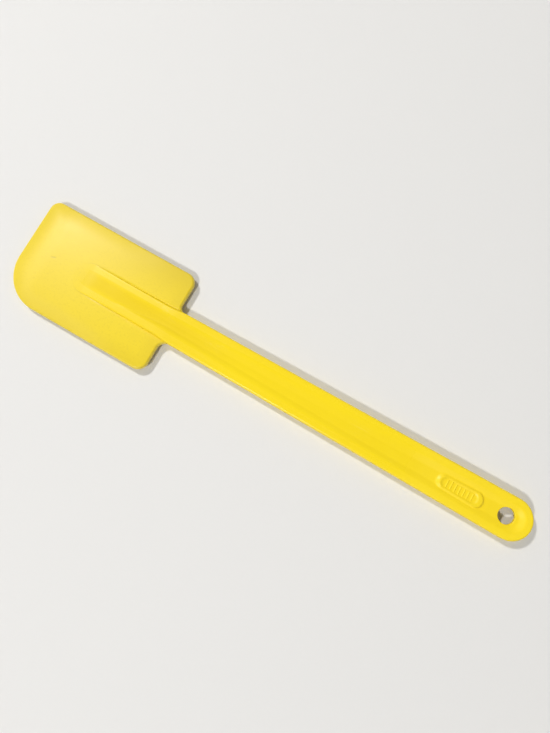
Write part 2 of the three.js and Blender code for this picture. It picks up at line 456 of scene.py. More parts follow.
class HandleForm:
    """The handle's outline and heights worked out from its sizes, in millimetres."""

    def __init__(self, size, pad):
        self.size = size
        self.pad = pad
        self.end_x = HANDLE_LOW[0] / MM
        self.neck_x = NECK_X / MM
        self.middle = MIDDLE_Z / MM
        self.half = (HANDLE_HIGH[2] - HANDLE_LOW[2]) / 2 / MM
        self.front_x = self.neck_x + size.spine_length
        self.end_radius = size.end_width / 2
        self.front_radius = size.spine_front_width / 2
        self.end_centre = self.end_x + self.end_radius
        self.front_centre = self.front_x - self.front_radius
        self.blend_from = self.neck_x - size.neck_blend
        self.blend_to = self.neck_x + size.neck_blend
        self.hole_x = self.end_x + size.hole_from_end
        self.dish_x = self.end_centre + size.dish_length
        self.flush_x = self.front_x - size.spine_flush
        self.trough_x = self.front_x - size.trough_from_front
        self.pad_x = self.end_x + pad.from_end
        self.core_front = self.neck_x - size.core_from_neck

    def half_width(self, x):
        """Half the width along the straight sides."""
        places = [self.end_centre, self.blend_from, self.blend_to, self.front_centre]
        s = self.size
        widths = [s.end_width, s.neck_width, s.spine_width, s.spine_front_width]
        return np.interp(x, places, widths) / 2

    def outline(self):
        """The closed outline, anticlockwise from the middle of the round end."""
        count = int((self.front_centre - self.end_centre) / OUTLINE_STEP) + 1
        xs = np.linspace(self.end_centre, self.front_centre, count)
        end = arc((self.end_centre, 0.0), self.end_radius, 90, 270)
        front = arc((self.front_centre, 0.0), self.front_radius, -90, 90)
        return bar_loop(end, np.column_stack([xs, -self.half_width(xs)]), front)

    def hole_ring(self, radius, steps=BORE_STEPS):
        """A closed ring round the hang hole's middle."""
        return arc((self.hole_x, 0.0), radius, 0, 360, steps)[:-1]

    def face_half(self, x):
        """From the middle plane to the face, which sinks towards the neck and more along the spine."""
        places = [self.dish_x, self.neck_x, self.flush_x]
        return np.interp(x, places, [self.half, self.size.neck_half, self.size.spine_front_half])

    def back_half(self, x):
        """From the middle plane to the back, which is flat as far as the neck."""
        return np.interp(x, [self.neck_x, self.flush_x], [self.half, self.size.spine_front_half])

    def on_sides(self, x, bar, spine, front):
        """A size of the sides: the bar's, then the spine's at the neck, then that of the spine's front."""
        return np.interp(x, [self.blend_from, self.blend_to, self.flush_x], [bar, spine, front])

    def side_round(self, x):
        """How far in the rounded sides reach."""
        s = self.size
        return self.on_sides(x, s.side_round, s.spine_round, s.spine_front_round)

    def side_flat(self, x):
        """Half the height of the straight band on the sides."""
        s = self.size
        return self.on_sides(x, s.side_flat, s.spine_flat, s.spine_front_half)

    def trough_half(self, x):
        """Half the width of the trough."""
        s = self.size
        places = [self.end_centre, self.dish_x, self.neck_x, self.trough_x]
        return np.interp(x, places, [s.dish_half, s.trough_half, s.trough_neck_half, s.trough_front_half])

    def trough_depth(self, x):
        """Depth of the trough's floor under the face."""
        s = self.size
        bar = np.interp(x, [self.pad_x, self.dish_x], [s.dish_depth, s.trough_depth])
        return bar * (1 - smooth((x - self.neck_x) / s.trough_fade))

    def sunk_place(self, x, y):
        """How far in from the trough's edge a point lies, in widths of its wall and of its half width."""
        s = self.size
        half = self.trough_half(x)
        flare = np.interp(x, [self.end_centre, self.dish_x], [1.0, 0.0])
        shallow = np.clip(self.trough_depth(x) / s.trough_depth, LEAST_WALL, 1.0)
        near = s.trough_wall * shallow + (s.dish_wall - s.trough_wall) * flare
        slope = s.trough_slope * half
        far = slope + (s.dish_wall - slope) * flare
        before = np.maximum(self.end_centre - x, 0.0)
        after = np.maximum(x - self.trough_x, 0.0) / FRONT_STRETCH
        across = y + s.trough_offset * (1 - flare)
        away = np.sqrt(across ** 2 + before ** 2 + after ** 2)
        side = across / np.maximum(away, TINY)
        wall = (near + far) / 2 + side * (near - far) / 2
        return (half - away) / wall, (half - away) / half

    def face(self, x, y):
        """Height of the face with its trough and thumb pad."""
        p = self.pad
        depth = self.trough_depth(x)
        top = self.middle + self.face_half(x)
        trough = top - depth * ramp(self.sunk_place(x, y)[0])
        reach = p.pad_length / 2
        wall = np.interp(x - self.pad_x, [-reach, reach], [p.pad_end_wall, p.pad_wall])
        across = y - p.pad_offset
        raised = smooth(stadium_depth(x, across, self.pad_x, p.pad_length, p.pad_width) / wall)
        sunk = smooth(stadium_depth(x, across, self.pad_x, p.field_length, p.field_width) / p.field_wall)
        pad = top - depth + p.pad_height * raised - p.field_depth * sunk
        return trough + raised * (smooth_max(trough, pad, PAD_BLEND) - trough)

    def back(self, x, y):
        """Height of the plain back."""
        return self.middle - self.back_half(x)

    def core_floor(self, x, y):
        """Height of the floor of the hollow in the back, which is the web's underside."""
        return np.full(len(x), self.middle - self.half + self.size.core_depth)

    def core_outline(self):
        """The hollow's closed outline, anticlockwise from the middle of the round end."""
        wide = self.end_radius - self.size.core_wall
        narrow = self.size.neck_width / 2 - self.size.core_wall
        end = arc((self.end_centre, 0.0), wide, 90, 270)
        front = arc((self.core_front - narrow, 0.0), narrow, -90, 90)
        return bar_loop(end, evenly(np.vstack([end[-1], front[0]]), OUTLINE_STEP), front)

    def core_wall(self):
        """The hollow's wall from its rounded rim to its floor, as steps inwards and up from the back."""
        s = self.size
        turns = quarter(MOUTH_STEPS)
        rim = np.column_stack([np.sin(turns) - 1, 1 - np.cos(turns)]) * s.core_edge
        foot = np.column_stack([1 - np.cos(turns), np.sin(turns) - 1]) * s.core_fillet
        return np.vstack([rim, foot + (s.core_draft, s.core_depth)])

    def face_spread(self):
        """Points over the face that follow the trough's lines, close together on the thumb pad."""
        mouth_radius = self.size.hole_diameter / 2 + self.size.hole_mouth
        hole_edge = self.hole_x + mouth_radius
        pad_reach = self.pad.pad_length / 2 + PAD_MARGIN
        pad_from = self.pad_x - pad_reach
        pad_to = self.pad_x + pad_reach
        stations = np.concatenate([
            np.arange(hole_edge + HOLE_RING_STEP, pad_from, END_STATION_STEP),
            np.arange(pad_from, pad_to, PAD_STATION_STEP),
            np.arange(pad_to, self.trough_x, BAR_STATION_STEP),
            np.arange(self.trough_x, self.front_x, END_STATION_STEP),
        ])
        spread = []
        for x in stations:
            edge = self.trough_half(x)
            rail = self.half_width(x) - self.side_round(x)
            on_pad = pad_from <= x <= pad_to
            lines = TROUGH_LINES * 2 if on_pad else TROUGH_LINES
            across = np.concatenate([
                np.linspace(0.0, edge, lines + 1),
                np.linspace(edge, rail, RAIL_LINES + 1)[1:-1],
            ])
            across = np.concatenate([-across[:0:-1], across])
            spread.append(np.column_stack([np.full(len(across), x), across]))
        for radius in np.arange(mouth_radius, self.size.hole_from_end, HOLE_RING_STEP):
            ring = self.hole_ring(radius, int(radius * POINTS_PER_RADIUS))
            spread.append(ring[ring[:, 0] < hole_edge + HOLE_RING_OVERLAP])
        return np.vstack(spread)

    def back_spread(self):
        """Sparse points over the plain back."""
        xs = np.arange(self.end_x, self.front_x, BACK_STATION_STEP)
        ys = np.linspace(-self.end_radius, self.end_radius, BACK_LINES)
        return np.array([(x, y) for x in xs for y in ys])


def handle_skin(form):
    """The handle's closed skin: rounded sides, face, back with its hollow, and the hang hole's bore."""
    skin = Skin()
    size = form.size
    outline = form.outline()
    normals = inward(outline)
    reach = form.side_round(outline[:, 0])
    flat = form.side_flat(outline[:, 0])
    sloped = smooth((outline[:, 0] - form.blend_from) / (form.blend_to - form.blend_from))
    turns = quarter(SIDE_STEPS)
    bore = size.hole_diameter / 2
    mouth = form.hole_ring(bore + size.hole_mouth)
    core = form.core_outline()
    core_normals = inward(core)
    core_plans = [(core + core_normals * inset, rise) for inset, rise in form.core_wall()]

    def fill(outer, hole, spread, height):
        """Fills between two loops and returns the numbers of both loops' points."""
        plan, triangles = fill_plan(outer, [hole], spread)
        filled = skin.add(plan, height(plan[:, 0], plan[:, 1]))
        skin.sheet(filled, triangles)
        return filled[:len(outer)], filled[len(outer):len(outer) + len(hole)]

    def side_of(side, height, hole, spread):
        """Half of the rounded sides with the face or back, and the numbers of its first and last rings."""
        rings = []
        for turn in turns:
            inset = (1 - math.cos(turn)) * (1 - sloped) + turn / turns[-1] * sloped
            plan = outline + normals * (reach * inset)[:, None]
            over = np.abs(height(plan[:, 0], plan[:, 1]) - form.middle)
            rings.append((plan, form.middle + side * (flat + (over - flat) * math.sin(turn))))
        numbers = [skin.add(*ring) for ring in rings[:-1]]
        edge, opening = fill(rings[-1][0], hole, spread, height)
        skin.bands([*numbers, edge])
        return numbers[0], opening

    def round_mouth(ring, side, height):
        """Rounds the hang hole's edge and returns the ring where its straight bore begins."""
        mouth_height = height(mouth[:, 0], mouth[:, 1])
        rings = [ring]
        for turn in quarter(MOUTH_STEPS)[1:]:
            plan = form.hole_ring(bore + size.hole_mouth * (1 - math.sin(turn)))
            rings.append(skin.add(plan, mouth_height - side * size.hole_mouth * (1 - math.cos(turn))))
        skin.bands(rings)
        return rings[-1]

    face_start, face_mouth = side_of(1, form.face, mouth, form.face_spread())
    back_start, core_rim = side_of(-1, form.back, core_plans[0][0], form.back_spread())
    skin.band(face_start, back_start)
    back_plane = form.middle - form.half
    core_rings = [skin.add(plan, back_plane + rise) for plan, rise in core_plans[1:-1]]
    floor_edge, floor_mouth = fill(core_plans[-1][0], mouth, form.back_spread(), form.core_floor)
    skin.bands([core_rim, *core_rings, floor_edge])
    skin.band(round_mouth(face_mouth, 1, form.face), round_mouth(floor_mouth, -1, form.core_floor))
    points = np.vstack(skin.points)
    place = form.sunk_place(points[:, 0], points[:, 1])[1]
    return skin, {"trough_place": np.where(points[:, 2] > form.middle, place, -1.0)}


# The blade's form

# Where the fillets stop short of running out along the handle, in degrees, and what is left of the seam's
# gap at the spine's front, in millimetres
FILLET_END = 70
CLOSED_GAP = 0.004

# How the blade's mesh follows the rim, in millimetres: how far past the bevel its rings reach and its even
# grid begins, how much too near to the rim a ring's point may lie before it is left out, and the width
# between rim and seam under which their edges are rounded less
RING_REACH = 0.25
GRID_CLEARANCE = 0.4
RING_SLACK = 0.05
THIN_WEB = 1.0


class BladeForm:
    """The blade's outline round the spine, in millimetres."""

    def __init__(self, size, handle):
        self.size = size
        self.handle = handle
        self.tip_x = BLADE_HIGH[0] / MM
        self.neck_x = NECK_X / MM
        self.half = (BLADE_HIGH[1] - BLADE_LOW[1]) / 2 / MM

    def rim(self):
        """The outer outline, anticlockwise from the small fillet at the neck to the large one."""
        s = self.size
        neck = self.handle.size.neck_width / 2
        corners = [
            arc((self.neck_x - s.square_fillet, -neck - s.square_fillet), s.square_fillet, FILLET_END, 0),
            arc((self.neck_x + s.back_corner, s.back_corner - self.half), s.back_corner, 180, 270),
            arc((self.tip_x - s.square_corner, s.square_corner - self.half), s.square_corner, -90, 0),
            arc((self.tip_x - s.round_corner, self.half - s.round_corner), s.round_corner, 0, 90),
            arc((self.neck_x + s.back_corner, self.half - s.back_corner), s.back_corner, 90, 180),
            arc((self.neck_x - s.round_fillet, neck + s.round_fillet), s.round_fillet, 0, -FILLET_END),
        ]
        return evenly(np.vstack(corners), OUTLINE_STEP / 2)

    def seam(self, from_x, to_x):
        """The edge along the spine, from the +Y side of the neck round the spine's front and back."""
        form = self.handle
        open_to = form.front_x - self.size.seam_fade

        def gap(x):
            return np.interp(x, [open_to, form.front_centre], [self.size.seam_gap, CLOSED_GAP])

        front = arc((form.front_centre, 0.0), form.front_radius + CLOSED_GAP, 90, -90)
        upper_x = np.arange(from_x, form.front_centre, OUTLINE_STEP / 2)
        lower_x = np.arange(to_x, form.front_centre, OUTLINE_STEP / 2)[::-1]
        upper = np.column_stack([upper_x, form.half_width(upper_x) + gap(upper_x)])
        lower = np.column_stack([lower_x, -form.half_width(lower_x) - gap(lower_x)])
        return np.vstack([upper, front, lower])


def blade_skin(form):
    """The blade's closed skin, still flat, with each point's side and its distances to rim and seam."""
    size = form.size
    rim = form.rim()
    seam = form.seam(rim[-1, 0], rim[0, 0])
    loop = np.vstack([rim, seam])
    web = np.concatenate([path_distance(rim, seam), path_distance(seam, rim)])
    depth = np.where(np.arange(len(loop)) < len(rim), size.nose, size.seam_round)
    depth *= np.clip(web / THIN_WEB, 0.0, 1.0)
    normals = inward(loop)
    skin = Skin()
    plans = []
    for turn in quarter(NOSE_STEPS):
        plans.append(loop + normals * (depth * (1 - math.cos(turn)))[:, None])
    low, high = rim.min(axis=0), rim.max(axis=0)
    xs, ys = (np.arange(low[axis], high[axis], BLADE_GRID_STEP) for axis in (0, 1))
    grid = np.array([(x, y) for x in xs for y in ys])
    spread = [grid[path_distance(grid, rim) > size.rim_width + GRID_CLEARANCE]]
    for inset in np.linspace(size.nose, size.rim_width + RING_REACH, RIM_RINGS + 1)[1:]:
        ring = rim + normals[:len(rim)] * inset
        spread.append(ring[path_distance(ring, rim) > inset - RING_SLACK])
    plan, triangles = fill_plan(plans[-1], [], np.vstack(spread))
    sides = []
    starts = []
    for side in (1.0, -1.0):
        before = skin.count
        numbers = [skin.add(ring, 0.0) for ring in plans[:-1]]
        filled = skin.add(plan, 0.0)
        skin.bands([*numbers, filled[:len(loop)]])
        skin.sheet(filled, triangles)
        starts.append(numbers[0])
        sides.append(np.full(skin.count - before, side))
    skin.band(*starts)
    places = np.vstack(skin.points)[:, :2]
    facts = {
        "blade_side": np.concatenate(sides),
        "rim_distance": path_distance(places, rim) * MM,
        "seam_distance": path_distance(places, seam) * MM,
    }
    return skin, facts


# Node trees

def find_socket(sockets, key):
    """A socket by its place, its identifier or its name."""
    if isinstance(key, int):
        return sockets[key]
    for attribute in ("identifier", "name"):
        for socket in sockets:
            if getattr(socket, attribute) == key:
                return socket
    raise KeyError(f"no socket {key}")


def first_in(operation):
    """A method of Wire: a Math node with the wire before the other value."""
    return lambda wire, value: wire.math(operation, wire, value)


def second_in(operation):
    """The reflected form: a Math node with the wire after the other value."""
    return lambda wire, value: wire.math(operation, value, wire)


class Wire:
    """A node's output in a sum: each operation adds a Math node to its tree."""

    def __init__(self, bench, socket):
        self.bench = bench
        self.socket = socket

    def other(self, key):
        """Another output of the same node."""
        return Wire(self.bench, find_socket(self.socket.node.outputs, key))

    def math(self, operation, *values):
        """A Math node on one or two values."""
        return self.bench.add("ShaderNodeMath", {"operation": operation}, dict(enumerate(values)))

    def root(self):
        """The square root."""
        return self.math("SQRT", self)

    def __abs__(self):
        return self.math("ABSOLUTE", self)

    __add__, __radd__ = first_in("ADD"), second_in("ADD")
    __sub__, __rsub__ = first_in("SUBTRACT"), second_in("SUBTRACT")
    __mul__, __rmul__ = first_in("MULTIPLY"), second_in("MULTIPLY")
    __truediv__, __rtruediv__ = first_in("DIVIDE"), second_in("DIVIDE")
    at_most = first_in("MINIMUM")
    at_least = first_in("MAXIMUM")


class Bench:
    """A node tree that is being built."""

    def __init__(self, tree):
        self.tree = tree

    def add(self, kind, settings=None, sockets=None, output=0):
        """Adds a node with its settings and the values or wires of its sockets, and returns an output."""
        node = self.tree.nodes.new(kind)
        for name, value in (settings or {}).items():
            setattr(node, name, value)
        for key, value in (sockets or {}).items():
            socket = find_socket(node.inputs, key)
            if isinstance(value, Wire):
                self.tree.links.new(value.socket, socket)
            else:
                socket.default_value = value
        return Wire(self, find_socket(node.outputs, output)) if node.outputs else node

    def step(self, value, start, end):
        """An even S from 0 at start to 1 at end."""
        return self.add(
            "ShaderNodeMapRange", {"interpolation_type": "SMOOTHSTEP"},
            {"Value": value, "From Min": start, "From Max": end})

    def mix(self, share_of_second, first, second):
        """A colour between two."""
        return self.add(
            "ShaderNodeMix", {"data_type": "RGBA"},
            {"Factor_Float": share_of_second, "A_Color": first, "B_Color": second}, "Result_Color")

    def noise(self, place, scale, detail=2.0, roughness=0.5):
        """Fractal noise round 0.5."""
        sockets = {"Vector": place, "Scale": scale, "Detail": detail, "Roughness": roughness}
        return self.add("ShaderNodeTexNoise", {}, sockets)

    def stretched(self, place, scale, turn=(0.0, 0.0, 0.0)):
        """A place scaled along each axis after a turn."""
        return self.add("ShaderNodeMapping", {}, {"Vector": place, "Rotation": turn, "Scale": scale})


class ShapeTree(Bench):
    """A geometry tree with named inputs, ended by its pieces realized in one material."""

    def __init__(self, name, material, sizes, counts=None):
        super().__init__(bpy.data.node_groups.new(name, "GeometryNodeTree"))
        self.interface = self.tree.interface
        self.keys = {}
        self.values = {}
        self.declare("Geometry", "NodeSocketGeometry")
        for title, value in sizes.items():
            self.declare(title, "NodeSocketFloat", value)
        for title, value in (counts or {}).items():
            self.declare(title, "NodeSocketInt", value)
        self.declare("Material", "NodeSocketMaterial", material)
        self.interface.new_socket("Geometry", in_out="OUTPUT", socket_type="NodeSocketGeometry")
        self.source = self.tree.nodes.new("NodeGroupInput")

    def declare(self, title, kind, value=None):
        """Adds a named input and keeps the value that the object gives it."""
        key = self.interface.new_socket(title, in_out="INPUT", socket_type=kind).identifier
        self.keys[title] = key
        if value is not None:
            self.values[key] = value

    def input(self, title):
        """What flows in by a named input."""
        return Wire(self, find_socket(self.source.outputs, self.keys[title]))

    def finish(self, geometry):
        """Ends the tree."""
        realized = self.add("GeometryNodeRealizeInstances", {}, {"Geometry": geometry})
        painted = self.add(
            "GeometryNodeSetMaterial", {}, {"Geometry": realized, "Material": self.input("Material")})
        self.add("NodeGroupOutput", {}, {0: painted})

    def apply(self, piece):
        """Runs the tree on an object and keeps the result as its plain mesh."""
        modifier = piece.modifiers.new(self.tree.name, "NODES")
        modifier.node_group = self.tree
        for key, value in self.values.items():
            modifier[key] = value
        bpy.context.view_layer.update()
        graph = bpy.context.evaluated_depsgraph_get()
        mesh = bpy.data.meshes.new_from_object(piece.evaluated_get(graph), depsgraph=graph)
        piece.modifiers.clear()
        plain = piece.data
        piece.data = mesh
        shade_with_creases(mesh)
        bpy.data.meshes.remove(plain)
        mesh.name = piece.name
        return piece


# The share of the seam's fade that is left before the spine's front when the blade's edge is level again
LEVEL_BEFORE_FRONT = 0.25


def blade_thickness_tree(size, form, material):
    """Gives the flat blade its thickness: rounded rim, bevel, thinner tip and a soft edge at the seam."""
    tree = ShapeTree("blade_thickness", material, {
        "Half thickness": size.thickness / 2,
        "Half rim thickness": size.rim_thickness / 2,
        "Rim width": size.rim_width,
        "Rim flat": size.rim_flat,
        "Nose": size.nose,
        "Half tip thickness": size.tip_thickness / 2,
        "Tip taper": size.tip_taper,
        "Tip place": form.tip_x * MM,
        "Seam round": size.seam_round,
        "Seam sink": size.seam_sink,
        "Seam fade": size.seam_fade,
        "Seam front": form.handle.front_x * MM,
        "Middle height": MIDDLE_Z,
    })

    def fact(name):
        """A value that the blade's points carry."""
        return tree.add(
            "GeometryNodeInputNamedAttribute", {"data_type": "FLOAT"}, {"Name": name}, "Attribute")

    def bulge(distance, reach):
        """A quarter round from 0 at the edge to 1 at the reach."""
        left = 1 - (distance / reach).at_most(1.0)
        return (1 - left * left).at_least(0.0).root()

    place = tree.add("GeometryNodeInputPosition")
    x = tree.add("ShaderNodeSeparateXYZ", {}, {0: place}, "X")
    rim_distance = fact("rim_distance")
    tip_share = 1 - ((tree.input("Tip place") - x) / tree.input("Tip taper")).at_most(1.0).at_least(0.0)
    full = tree.input("Half thickness")
    face = full - tip_share * tip_share * (full - tree.input("Half tip thickness"))
    rim = tree.input("Half rim thickness")
    flat = tree.input("Rim flat")
    left = 1 - (rim_distance / tree.input("Rim width")).at_most(1.0)
    bevel = (face - rim) * (1 - left * left)
    height = flat + (rim - flat) * bulge(rim_distance, tree.input("Nose")) + bevel
    front = tree.input("Seam front")
    fade = tree.input("Seam fade")
    level = tree.step(x, front - fade, front - LEVEL_BEFORE_FRONT * fade)
    near_seam = 1 - tree.step(fact("seam_distance"), 0.0, tree.input("Seam round"))
    drop = tree.input("Seam sink") * near_seam * (1 - level)
    z = tree.input("Middle height") + fact("blade_side") * (height - drop).at_least(flat)
    moved = tree.add("ShaderNodeCombineXYZ", {}, {"X": x, "Y": x.other("Y"), "Z": z})
    shaped = tree.add(
        "GeometryNodeSetPosition", {}, {"Geometry": tree.input("Geometry"), "Position": moved})
    tree.finish(shaped)
    return tree


# How finely a rib is cut along and round, and the least share, squared, that its ends keep of its girth
RIB_STATIONS = 41
RIB_SIDES = 20
RIB_END_SCALE = 0.002


def pad_ribs_tree(pad, form, material):
    """Stands a row of plain round-topped ribs in the thumb pad's field."""
    field_z = form.face(np.array([form.pad_x]), np.array([form.pad.pad_offset]))[0] * MM
    sizes = {
        "Rib pitch": pad.rib_pitch,
        "Rib length": pad.rib_length,
        "Rib radius": pad.rib_radius,
        "Pad place": form.pad_x * MM,
        "Pad offset": pad.pad_offset,
        "Rib middle height": field_z + pad.rib_height - pad.rib_radius,
    }
    tree = ShapeTree("pad_ribs", material, sizes, {"Rib count": pad.rib_count})

    def point(x=0.0, y=0.0, z=0.0):
        """A place put together from its three values."""
        return tree.add("ShaderNodeCombineXYZ", {}, {"X": x, "Y": y, "Z": z})

    half = tree.input("Rib length") / 2
    radius = tree.input("Rib radius")
    ends = {"Start": point(y=0 - half), "End": point(y=half)}
    line = tree.add("GeometryNodeCurvePrimitiveLine", {}, ends)
    crest = tree.add("GeometryNodeResampleCurve", {}, {"Curve": line, "Count": RIB_STATIONS})
    along = abs(tree.add("GeometryNodeSplineParameter", output="Factor") - 0.5) * 2 * half
    past = ((along - (half - radius)) / radius).at_least(0.0)
    swell = (1 - past * past).at_least(RIB_END_SCALE).root()
    ring = tree.add("GeometryNodeCurvePrimitiveCircle", {}, {"Resolution": RIB_SIDES, "Radius": radius})
    bar = tree.add(
        "GeometryNodeCurveToMesh", {},
        {"Curve": crest, "Profile Curve": ring, "Scale": swell, "Fill Caps": True})
    count = tree.input("Rib count")
    pitch = tree.input("Rib pitch")
    first = tree.input("Pad place") - (count - 1) / 2 * pitch
    start = point(first, tree.input("Pad offset"), tree.input("Rib middle height"))
    row = tree.add(
        "GeometryNodeMeshLine", {}, {"Count": count, "Offset": point(pitch), "Start Location": start})
    ribs = tree.add("GeometryNodeInstanceOnPoints", {}, {"Points": row, "Instance": bar})
    tree.finish(tree.add("GeometryNodeSetShadeSmooth", {}, {"Geometry": ribs}))
    return tree


# Finishes

# Waves of each pattern in a metre, or along each axis where it is drawn out
BREAK_WAVES = 60.0
BLADE_CLOUD_WAVES = 34.0
BLADE_SPECKLE_WAVES = 900.0
BLADE_GRAIN_WAVES = 3200.0
BLADE_SCRATCH_WAVES = (2400.0, 30.0, 2400.0)
RAGGED_WAVES = 420.0
HANDLE_CLOUD_WAVES = 26.0
HANDLE_STREAK_WAVES = (9.0, 260.0, 260.0)
HANDLE_GRAIN_WAVES = 2600.0
HANDLE_SCRATCH_WAVES = (40.0, 2600.0, 2600.0)
FLOOR_SPECK_WAVES = 700.0

# The scratches' turns in radians and how far from a wave's middle a scratch reaches
BLADE_SCRATCH_TURN = 0.2
HANDLE_SCRATCH_TURN = 0.12
SCRATCH_REACH = 0.02

# Levels of a pattern between which its mask rises
BREAK_LEVELS = (0.5, 0.68)
BLADE_CLOUD_LEVELS = (0.36, 0.66)
BLADE_SPECKLE_LEVELS = (0.50, 0.70)
HANDLE_DENSE_LEVELS = (0.34, 0.68)
NICK_LEVELS = (1.0, 0.2)

# Where the handle's tones and gloss begin and are complete: in metres along X, and for the trough in half
# widths in from its edge
END_MATT = (-0.062, -0.079)
SPINE_DEEPER = (0.010, 0.056)
SPINE_PALE = (0.084, 0.0985)
TROUGH_TONE = (0.0, 0.7)
TROUGH_GLOSS = (-0.10, 0.08)

# The same for the blade, in metres along X or Y, and for rim and seam in metres from them. The ranges for
# the sides, the tip, the rim margin's tone and the seam place painted shade
SQUARE_SIDE_SHADE = (-0.006, -0.024)
ROUND_SIDE_SHADE = (0.012, 0.025)
FRONT_LIGHTER = (0.055, 0.090)
TIP_SHADE = (0.095, 0.118)
TIP_SCRATCHED = (0.085, 0.122)
TIP_MATT = (0.108, 0.120)
MARGIN_MATT = (0.060, 0.090)
RIM_SHADE_AND_MATT = (0.0085, 0.0005)
RIM_WORN = (0.0010, 0.0001)
RIM_RAGGED = 0.0009
SEAM_SHADE = (0.0007, 0.0)
SEAM_SHADE_BEGINS = (0.062, 0.080)
SEAM_SHADE_ENDS = (0.098, 0.090)

# The nick's middle and its half sizes in metres, its slant and how ragged it is
NICK_PLACE = (0.1105, -0.0007)
NICK_REACH = (0.0019, 0.0006)
NICK_SLANT = 0.35
NICK_RAGGED = 0.9

# How much each trait counts in the stiff plastic's denser tone, trough tone (partly painted shade in the
# recess), roughness and relief
STIFF_DENSE = SimpleNamespace(cloud=0.65, streak=0.35)
STIFF_TROUGH = SimpleNamespace(bar=0.25, spine=0.40, rails=0.45)
STIFF_ROUGH = SimpleNamespace(cloud=0.08, grain=0.06, scratch=0.10, end=0.24, trough=0.10)
STIFF_RELIEF = SimpleNamespace(grain=0.6, streak=0.4, scratch=0.7)
STIFF_SCUFF = 0.10

# The same for the soft plastic's painted shade on its sides and tip, its denser tone and painted shade
# together, wear, roughness and relief
SOFT_SHADE = SimpleNamespace(front=0.6, round_side=0.25, tip=0.2)
SOFT_DENSE_AND_SHADE = SimpleNamespace(shade=0.8, cloud=0.2, speckle=0.30, margin=0.35)
SOFT_SCUFF = SimpleNamespace(rim=0.25, scratch=0.12)
SOFT_ROUGH = SimpleNamespace(cloud=0.10, grain=0.08, scratch=0.12, margin=0.20, tip=0.10)
SOFT_RELIEF = SimpleNamespace(grain=0.7, speckle=0.3, scratch=0.6, nick=0.4)
SOFT_NICK = 0.28

# The fine relief's strength and depth in metres, and how strongly each plastic bends light
STIFF_BUMP = (0.25, 0.00004)
SOFT_BUMP = (0.3, 0.00005)
STIFF_IOR = 1.47
SOFT_IOR = 1.49

# The floor's faint specks, its roughness and where it fades to an even white, in metres from the middle
FLOOR_SPECK_COLOUR = (0.6, 0.59, 0.57)
FLOOR_SPECK_SHARE = 0.06
FLOOR_ROUGHNESS = 0.75
FLOOR_FADE = (0.25, 1.2)


class Finish(Bench):
    """A material with one plastic or plain shader."""

    def __init__(self, name):
        self.material = bpy.data.materials.new(name)
        self.material.use_nodes = True
        super().__init__(self.material.node_tree)
        self.tree.nodes.clear()

    def fact(self, name):
        """A value that the piece's points carry."""
        return self.add("ShaderNodeAttribute", {"attribute_name": name}, output="Fac")

    def close(self, shader):
        """Ends the material with its shader."""
        self.add("ShaderNodeOutputMaterial", {}, {"Surface": shader})
        return self.material

    def close_plastic(self, tone, rough, relief, bump, ior):
        """Ends the material as a plastic with a fine relief."""
        strength, depth = bump
        normal = self.add(
            "ShaderNodeBump", {}, {"Strength": strength, "Distance": depth, "Height": relief})
        return self.close(self.add(
            "ShaderNodeBsdfPrincipled", {},
            {"Base Color": tone, "Roughness": rough, "Normal": normal, "IOR": ior}))


def solid(shade):
    """A colour with full cover."""
    return (*shade, 1.0)


def fine_scratches(finish, place, waves, turn):
    """A mask of thin broken scratches along one direction."""
    lines = finish.noise(finish.stretched(place, waves, (0.0, 0.0, turn)), scale=1.0, detail=1.0)
    broken = finish.noise(place, BREAK_WAVES)
    return finish.step(abs(lines - 0.5), SCRATCH_REACH, 0.0) * finish.step(broken, *BREAK_LEVELS)


def blade_tone(finish, look, place):
    """The soft plastic's colour and gloss before wear: clouds, fine speckle, and painted shade that
    darkens the square side towards the neck and, less, the round side and the tip.
    """
    cloud = finish.noise(place, BLADE_CLOUD_WAVES, detail=3.0)
    speckle = finish.noise(place, BLADE_SPECKLE_WAVES, roughness=0.6)
    grain = finish.noise(place, BLADE_GRAIN_WAVES)
    y = finish.add("ShaderNodeSeparateXYZ", {}, {0: place}, "Y")
    x = y.other("X")
    # Painted shade: darker on the square side and fading towards the front, a little darker on the round
    # side and towards the tip
    shade = finish.step(y, *SQUARE_SIDE_SHADE) * (1 - SOFT_SHADE.front * finish.step(x, *FRONT_LIGHTER))
    shade = shade + SOFT_SHADE.round_side * finish.step(y, *ROUND_SIDE_SHADE)
    shade = shade + SOFT_SHADE.tip * finish.step(x, *TIP_SHADE)
    clouded = SOFT_DENSE_AND_SHADE.cloud * finish.step(cloud, *BLADE_CLOUD_LEVELS)
    dense = (SOFT_DENSE_AND_SHADE.shade * shade + clouded).at_most(1.0)
    tone = finish.mix(dense, solid(look.blade_colour), solid(look.blade_deep))
    speckled = SOFT_DENSE_AND_SHADE.speckle * finish.step(speckle, *BLADE_SPECKLE_LEVELS)
    tone = finish.mix(speckled, tone, solid(look.blade_deep))
    rough = look.blade_roughness + SOFT_ROUGH.cloud * (cloud - 0.5) + SOFT_ROUGH.grain * (grain - 0.5)
    return SimpleNamespace(tone=tone, rough=rough, speckle=speckle, grain=grain)


